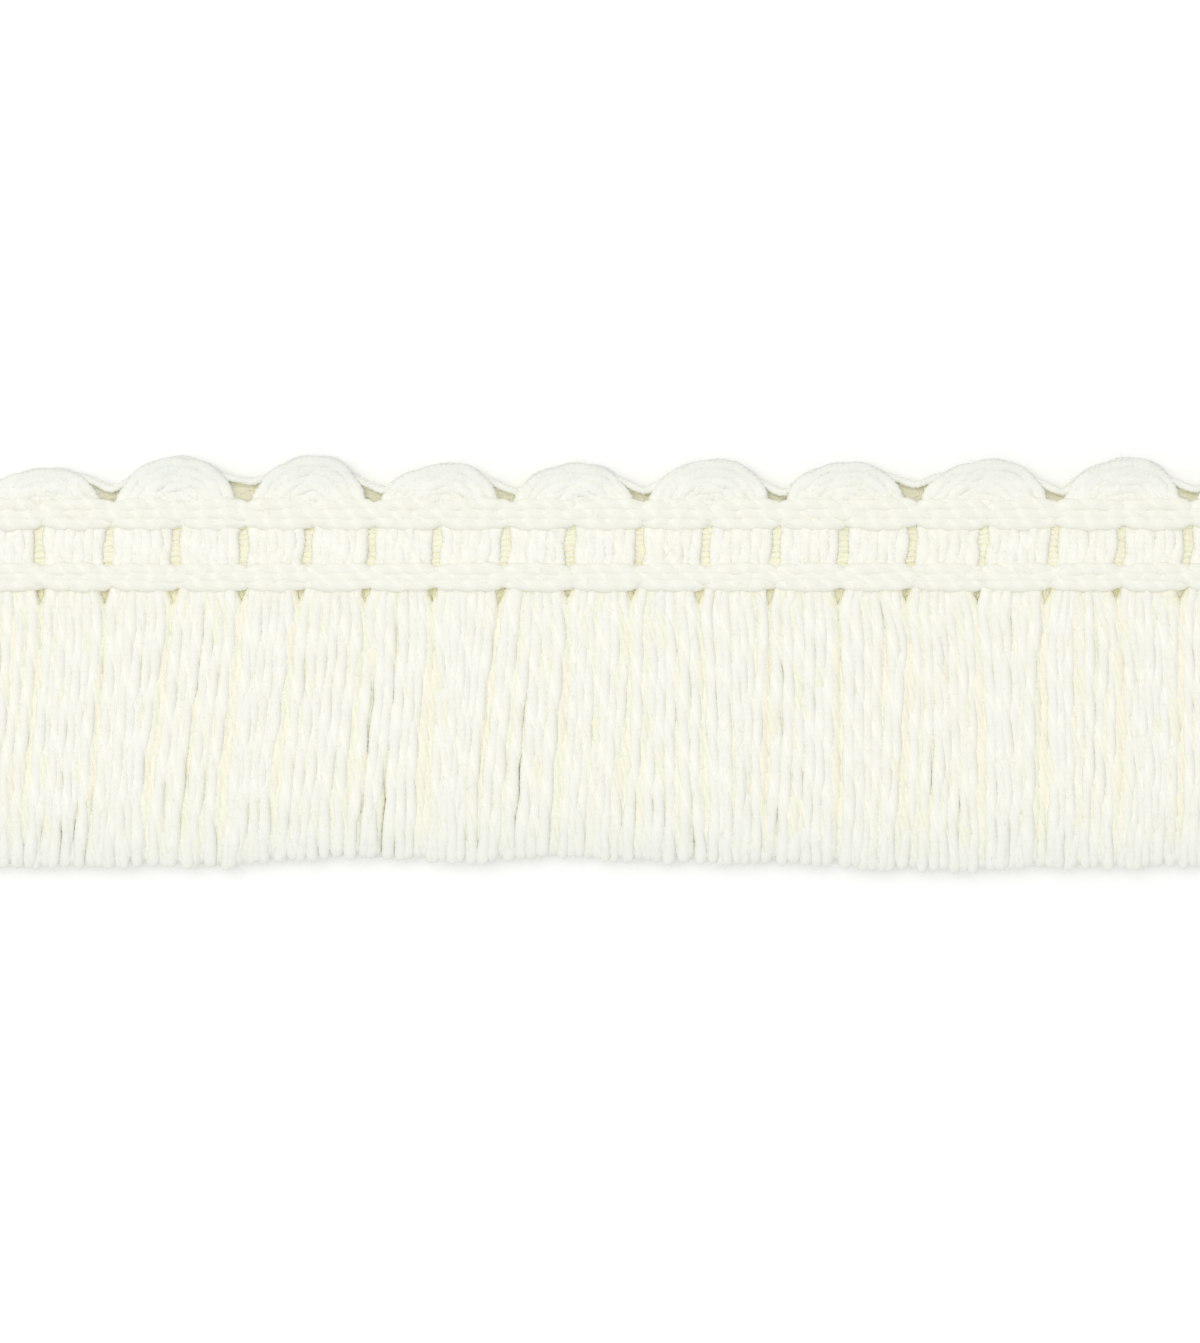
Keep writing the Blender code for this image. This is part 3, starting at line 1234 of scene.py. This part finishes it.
@dataclass
class ChainRow:
    """A row of chain stitch, one link to a column, that binds the bundles.

    outward and turn hold a link's points: shares of the pitch and of the arm, and the height.
    """

    layout: TrimLayout
    fibres: FibreField
    name: str
    row: tuple[float, float]
    seed: int
    section: YarnSection = YarnSection(ply=0.48, apart=0.12, pitch=3.4, twist=Twist.S)
    outward: tuple[tuple[float, float, float], ...] = (
        (0.00, 0.30, 1.00),
        (0.07, 0.50, 1.45),
        (0.22, 0.84, 1.68),
        (0.50, 1.00, 1.72),
        (0.80, 0.96, 1.68),
        (1.00, 0.70, 1.52),
    )
    turn: tuple[float, float, float] = (1.11, 0.0, 1.42)
    overlap: float = 0.06
    lift: float = 0.06
    tilt: float = 0.12
    shift: float = -0.1
    spacing: float = 0.36
    flatten: float = 0.66
    fuzz: float = 6.0
    spine_ends: tuple[float, float] = (0.4, -0.2)
    spine_steps: int = 60
    spine_ripple: Ripple = Ripple(0.08, 1.9)
    spine_z: float = 1.62
    spine_scale: float = 1.1

    def link(self, start: float, end: float, maker: YarnMaker) -> list[tuple[float, float, float]]:
        """The route of one link, out over the column and back.

        Args:
            start: Where the link comes up, along X.
            end: Where the next link comes up through it.
            maker: The yarn maker, for its random draws.

        Returns:
            The points that the link's yarn goes through.
        """
        middle = (self.row[0] + self.row[1]) / 2
        arm = (self.row[1] - self.row[0]) / 2 - self.section.reach + self.overlap
        pitch = end - start
        lift = maker.random.uniform(-self.lift, self.lift)
        tilt = maker.random.uniform(-self.tilt, self.tilt)
        back = [(share, -out, z) for share, out, z in reversed(self.outward)]
        return [
            (start + share * pitch, middle + out * arm + tilt * (share - 0.5), z + lift)
            for share, out, z in (*self.outward, self.turn, *back)
        ]

    def build(self) -> bpy.types.Object:
        """Works every link of the row.

        Returns:
            The row.
        """
        maker = YarnMaker(self.section, self.seed, self.spacing, self.flatten)
        middle = (self.row[0] + self.row[1]) / 2
        for column in range(len(GAPS) - 1):
            start = self.layout.gap_x(column, middle) + self.shift
            end = self.layout.gap_x(column + 1, middle) + self.shift
            marks = self.link(start, end, maker)
            maker.add(marks, fibres=self.fibres, fibres_per_mm=self.fuzz)
        self.spine(maker, middle)
        return maker.store.piece(self.name, self.layout)

    def spine(self, maker: YarnMaker, middle: float) -> None:
        """Lays the cord that the links are worked over.

        Args:
            maker: The row's yarn maker.
            middle: The height of the row's middle line.
        """
        start = self.layout.gap_x(0, middle) + self.spine_ends[0]
        end = self.layout.gap_x(len(GAPS) - 1, middle) + self.spine_ends[1]
        marks = []
        for step, x in enumerate(np.linspace(start, end, self.spine_steps)):
            marks.append((float(x), middle + self.spine_ripple.at(step), self.spine_z))
        maker.add(marks, scale=self.spine_scale)


@dataclass(frozen=True)
class BrushLayer:
    """One layer of a bundle's yarns.

    depth is its height over the floor, and single yarns stray from that by uneven. spread is the
    share of the gap beside the bundle that the layer closes, buried is the least share of painted
    recess shade, for yarn that lies under others, and fuzz is how many fibres stand off each
    millimetre of yarn.
    """

    count: int
    depth: float
    uneven: float
    spread: float = 0.0
    least_recess_shade: float = 0.0
    fuzz: float = 0.0


class Opening(NamedTuple):
    """How far a gap in the brush opens at a height: a share of its width, and what is fixed."""

    height: float
    share: float
    fixed: float


@dataclass
class Brush:
    """The cut yarns below the lower row.

    closing is where the lower layers close the gaps, freeing is where a yarn comes free of the
    stitches, and pressed is how flat it lies before that. Layers that close the gaps hold still
    by held and end higher by hem_back.
    """

    layout: TrimLayout
    fibres: FibreField
    section: YarnSection = YarnSection(ply=0.41, apart=0.13, sides=12, pitch=8.0)
    layers: tuple[BrushLayer, ...] = (
        BrushLayer(count=6, depth=0.55, uneven=0.04, spread=1.0, least_recess_shade=1.0),
        BrushLayer(count=8, depth=1.3, uneven=0.04, spread=1.0, least_recess_shade=0.6),
        BrushLayer(count=7, depth=1.66, uneven=0.09, fuzz=3.5),
    )
    buried_section: YarnSection = YarnSection(ply=0.47, apart=0.09, sides=8, pitch=11.0)
    lowest_layer: float = 0.6
    sparse: float = 0.5
    behind_scale: float = 1.2
    front_scale: float = 0.92
    flatten: float = 0.66
    behind_flatten: float = 0.85
    behind_spacing: float = 0.6
    bare: float = 0.45
    heights: tuple[float, ...] = (22.7, 21.6, 20.0, 17.6, 14.6, 11.2, 7.6, 4.2, 1.8)
    openings: tuple[Opening, ...] = (
        Opening(0.0, 0.0, 0.1),
        Opening(3.0, 0.65, 0.0),
        Opening(6.9, 1.05, 0.0),
        Opening(14.0, 0.75, 0.0),
        Opening(18.5, 0.0, 0.1),
        Opening(19.8, 0.0, 0.1),
        Opening(20.6, 0.0, 0.3),
        Opening(21.3, 0.0, 0.6),
        Opening(21.9, 0.0, 0.7),
    )
    part_power: float = 0.5
    part_reach: float = 0.3
    held: float = 0.7
    stray: float = 0.16
    sway: tuple[float, float] = (0.05, 0.16)
    sway_rate: float = 0.55
    hem_play: float = 0.2
    hem_back: float = 0.3
    closing: tuple[float, float] = (20.2, 21.2)
    edge: float = 1.05
    edge_closed: float = 0.4
    freeing: tuple[float, float] = (17.0, 21.8)
    pressed: float = 0.75
    base_z: float = 0.55
    lowest_z: float = 0.52
    ripple_z: Ripple = Ripple(0.10, 0.7)
    place_play: float = 0.04
    thickness: tuple[float, float] = (0.95, 1.1)
    sparse_power: float = 0.8

    def half_gap(self, index: int, height: float) -> float:
        """Half the opening of a gap at a height.

        Args:
            index: The gap's row in the table.
            height: The height above the cut line.

        Returns:
            The half width.
        """
        heights = [opening.height for opening in self.openings]
        width = GAPS[index].width
        widths = [opening.share * width + opening.fixed for opening in self.openings]
        return float(np.interp(height, heights, widths)) / 2

    def parted(self, bundle: int, place: float, height: float) -> float:
        """How far a parting pushes a yarn aside.

        Args:
            bundle: The yarn's bundle.
            place: The yarn's place across the bundle, from 0 to 1.
            height: The height above the cut line.

        Returns:
            The push along X.
        """
        push = 0.0
        for split in SPLITS:
            if split.bundle != bundle or not split.foot <= height <= split.head:
                continue
            share = (split.head - height) / (split.head - split.foot)
            middle = (split.place_high + split.place_low) / 2
            window = math.sin(math.pi * share) ** self.part_power
            near = math.exp(-(((place - middle) / self.part_reach) ** 2))
            push += math.copysign(split.width / 2, place - middle) * window * near
        return push

    def route(
        self,
        bundle: int,
        place: float,
        layer: BrushLayer,
        depth: float,
        random: np.random.Generator,
    ) -> list[tuple[float, float, float]]:
        """One yarn's route from under the lower row down to its cut end.

        Args:
            bundle: The yarn's bundle.
            place: The yarn's place across the bundle, from 0 to 1.
            layer: The yarn's layer.
            depth: The yarn's height above the floor where it hangs free.
            random: This bundle's random draws.

        Returns:
            The points that the yarn goes through.
        """
        wave, second = random.uniform(0, PHASES, 2)
        loose = 1.0 - self.held * layer.spread
        stray = random.normal(0, self.stray) * loose
        sway = random.uniform(*self.sway) * loose
        hem = GAPS[bundle].hem + place * (GAPS[bundle + 1].hem - GAPS[bundle].hem)
        hem += random.uniform(-self.hem_play, self.hem_play) + self.hem_back * layer.spread
        reach = (self.buried_section if layer.spread else self.section).reach
        marks = []
        for height in (*self.heights, hem):
            closed = layer.spread
            if layer.depth > self.lowest_layer:
                closed *= float(np.interp(height, self.closing, (1.0, 0.0)))
            edge = (self.edge - self.edge_closed * closed) * reach
            kept = 1 - closed
            left = self.layout.gap_x(bundle, height) + kept * self.half_gap(bundle, height) + edge
            right = self.layout.gap_x(bundle + 1, height)
            right = right - kept * self.half_gap(bundle + 1, height) - edge
            down = (self.heights[0] - height) / self.heights[0]
            x = left + place * (right - left)
            x += sway * down * math.sin(self.sway_rate * height + wave) + stray * down**2
            x += self.parted(bundle, place, height) * loose
            free = float(np.interp(height, self.freeing, (1.0, 0.0)))
            risen = self.pressed + (1 - self.pressed) * free
            z = self.base_z + (depth - self.base_z) * risen
            z += self.ripple_z.at(height, second) * free
            marks.append((x, height, max(z, self.lowest_z)))
        return marks

    def build(self, bundle: int) -> bpy.types.Object:
        """Hangs one bundle's yarns, the lowest layer first.

        Args:
            bundle: The bundle's number from the left end.

        Returns:
            The bundle.
        """
        seed = Seed.BRUSH_FRONT + bundle
        front = YarnMaker(self.section, seed=seed, flatten=self.flatten, bare=self.bare)
        behind = YarnMaker(
            self.buried_section,
            seed=Seed.BRUSH_BEHIND + bundle,
            spacing=self.behind_spacing,
            flatten=self.behind_flatten,
            store=front.store,
        )
        for layer in self.layers:
            maker = behind if layer.spread else front
            count = layer.count - int(layer.spread == 0 and maker.random.uniform() < self.sparse)
            for yarn in range(count):
                place = yarn / (count - 1)
                place += maker.random.uniform(-self.place_play, self.place_play)
                level = layer.depth + maker.random.uniform(-layer.uneven, layer.uneven)
                marks = self.route(bundle, place, layer, level, maker.random)
                thickness = maker.random.uniform(*self.thickness)
                thickness *= (layer.count / count) ** self.sparse_power
                thickness *= self.front_scale if maker is front else self.behind_scale
                # The outermost yarns at the trim's ends show from the side, so they take painted
                # recess shade only down low.
                shown = (bundle, yarn) in ((0, 0), (len(GAPS) - 2, count - 1))
                least_recess_shade, shade_below = (0.0, EDGE_SHADE_BELOW) if shown else (layer.least_recess_shade, COLUMN_SHADE_BELOW)
                maker.add(marks, True, thickness, least_recess_shade, self.fibres, layer.fuzz, shade_below)
        return front.store.piece(f"brush_bundle_{bundle + 1:02d}", self.layout)


@dataclass(frozen=True)
class Lamp:
    """A soft square lamp: its place and side in metres, its power in watts and its colour."""

    name: str
    place: tuple[float, float, float]
    size: float
    power: float
    colour: tuple[float, float, float]


@dataclass(frozen=True)
class Studio:
    """The floor, the soft light and the camera."""

    layout: TrimLayout
    photo_width: int = 1200
    photo_height: int = 1343
    mm_per_pixel: float = 0.0785
    middle_pixel_x: float = 649.5
    cut_line_pixel: float = 868.0
    lens: float = 100.0
    sensor: float = 36.0
    face_depth: float = 2.0
    clip: tuple[float, float] = (0.01, 10.0)
    floor_half: float = 1.5
    floor_roughness: float = 0.9
    floor_gloss: float = 0.1
    ambient: float = 0.76
    lamps: tuple[Lamp, ...] = (
        Lamp("overhead_soft", (-0.25, 0.2, 0.9), 0.8, 3.3, (1.0, 1.0, 0.99)),
    )
    bounces: int = 14

    def camera(self) -> None:
        """Sets the camera straight over the trim, framed as the photograph is."""
        tall = self.photo_height * self.mm_per_pixel
        distance = tall * self.lens / self.sensor
        x = (self.photo_width / 2 - self.middle_pixel_x) * self.mm_per_pixel
        y = (self.cut_line_pixel - self.photo_height / 2) * self.mm_per_pixel
        data = bpy.data.cameras.new("overhead")
        data.lens = self.lens
        data.sensor_width = self.sensor
        data.clip_start, data.clip_end = self.clip
        camera = bpy.data.objects.new("overhead", data)
        camera.location = self.layout.world(np.array([x, y, self.face_depth + distance]))
        bpy.context.scene.collection.objects.link(camera)
        bpy.context.scene.camera = camera

    def floor(self) -> None:
        """Lays the plain pale floor."""
        half = self.floor_half
        mesh = bpy.data.meshes.new("floor")
        corners = [(-half, -half, 0), (half, -half, 0), (half, half, 0), (-half, half, 0)]
        mesh.from_pydata(corners, [], [(0, 1, 2, 3)])
        graph = FinishGraph("floor_white")
        shader = graph.add(
            "ShaderNodeBsdfPrincipled",
            {},
            {
                "Base Color": FLOOR,
                "Roughness": self.floor_roughness,
                "Specular IOR Level": self.floor_gloss,
            },
        )
        graph.add("ShaderNodeOutputMaterial", {}, {"Surface": shader.outputs[0]})
        mesh.materials.append(graph.material)
        floor = bpy.data.objects.new("floor", mesh)
        bpy.context.scene.collection.objects.link(floor)

    def hang(self, lamp: Lamp) -> None:
        """Hangs a lamp so that it faces the trim.

        Args:
            lamp: The lamp.
        """
        data = bpy.data.lights.new(lamp.name, "AREA")
        data.size = lamp.size
        data.energy = lamp.power
        data.color = lamp.colour
        hung = bpy.data.objects.new(lamp.name, data)
        hung.location = lamp.place
        hung.rotation_euler = (-Vector(lamp.place)).to_track_quat("-Z", "Y").to_euler()
        bpy.context.scene.collection.objects.link(hung)

    def light(self) -> None:
        """Sets the soft white surroundings and the lamps."""
        world = bpy.data.worlds.new("studio")
        world.use_nodes = True
        background = world.node_tree.nodes["Background"]
        background.inputs["Color"].default_value = (1.0, 1.0, 1.0, 1.0)
        background.inputs["Strength"].default_value = self.ambient
        bpy.context.scene.world = world
        for lamp in self.lamps:
            self.hang(lamp)
        bpy.context.scene.view_settings.view_transform = "Standard"
        cycles = bpy.context.scene.cycles
        cycles.max_bounces = self.bounces
        cycles.diffuse_bounces = self.bounces


def dress(piece: bpy.types.Object, material: bpy.types.Material, slot: Slot, *nodes: str) -> None:
    """Gives a piece its finish and ties it to the frame.

    Args:
        piece: The piece.
        material: Its material.
        slot: The record's slot; not used.
        *nodes: The solids that it stands for.
    """
    piece.data.materials.append(material)
    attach(piece, BODY)
    if nodes:
        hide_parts(*nodes)
    log.info("%s: %d faces", piece.name, len(piece.data.polygons))


def main() -> None:
    """Builds the trim and the studio."""
    logging.basicConfig(level=logging.INFO, format="%(name)s: %(message)s")
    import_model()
    layout = TrimLayout()
    layout.anchor()
    studio = Studio(layout)
    studio.camera()
    studio.floor()
    studio.light()

    loop_finish = YarnFinish("loop_ivory", IVORY, GROOVE_LIGHT_AND_GRAIN, PALE, EDGE_SHADE, RECESS_SHADE).material()
    # The crotch yarns take a darker beige: painted shade for the crotch between scallops.
    crotch_shade_finish = YarnFinish.plain("crotch_painted_shade", SHADED).material()
    # The ground cords take a yellowed ivory: painted shade of the slots.
    cord_shade_finish = YarnFinish.plain("cord_painted_shade", CORD_RECESS_SHADE).material()
    # The chain rows' darker ivory is painted shade.
    chain_finish = YarnFinish("chain_ivory", CHAIN, GROOVE_LIGHT_AND_GRAIN, CHAIN, EDGE_SHADE, RECESS_SHADE).material()
    brush_finish = YarnFinish("brush_ivory", HUNG, GROOVE_LIGHT_AND_GRAIN, HUNG_PALE, EDGE_SHADE, RECESS_SHADE).material()

    heading_fibres = FibreField(Seed.HEADING_FUZZ)
    heading = Heading(layout, heading_fibres)
    for index in range(len(SCALLOPS)):
        dress(heading.build(index), loop_finish, Slot.LOOP, f"scallop_loop_{index + 1:02d}")
    dress(heading.crossings(), crotch_shade_finish, Slot.LOOP)
    dress(heading.ground_cords(), cord_shade_finish, Slot.LOOP)
    heading.wisps(np.random.default_rng(Seed.WISPS))
    for which, place, seed in (
        ("upper", layout.upper_row, Seed.UPPER_ROW),
        ("lower", layout.lower_row, Seed.LOWER_ROW),
    ):
        row = ChainRow(layout, heading_fibres, f"chain_links_{which}", place, seed)
        dress(row.build(), chain_finish, Slot.CHAIN, f"chain_row_{which}")
    brush_fibres = FibreField(Seed.BRUSH_FUZZ)
    brush = Brush(layout, brush_fibres)
    for bundle in range(len(GAPS) - 1):
        dress(brush.build(bundle), brush_finish, Slot.BRUSH, "brush_fringe")
    dress(heading_fibres.piece("heading_fuzz", layout), loop_finish, Slot.LOOP)
    dress(brush_fibres.piece("brush_fuzz", layout), brush_finish, Slot.BRUSH)


if __name__ == "__main__":
    main()
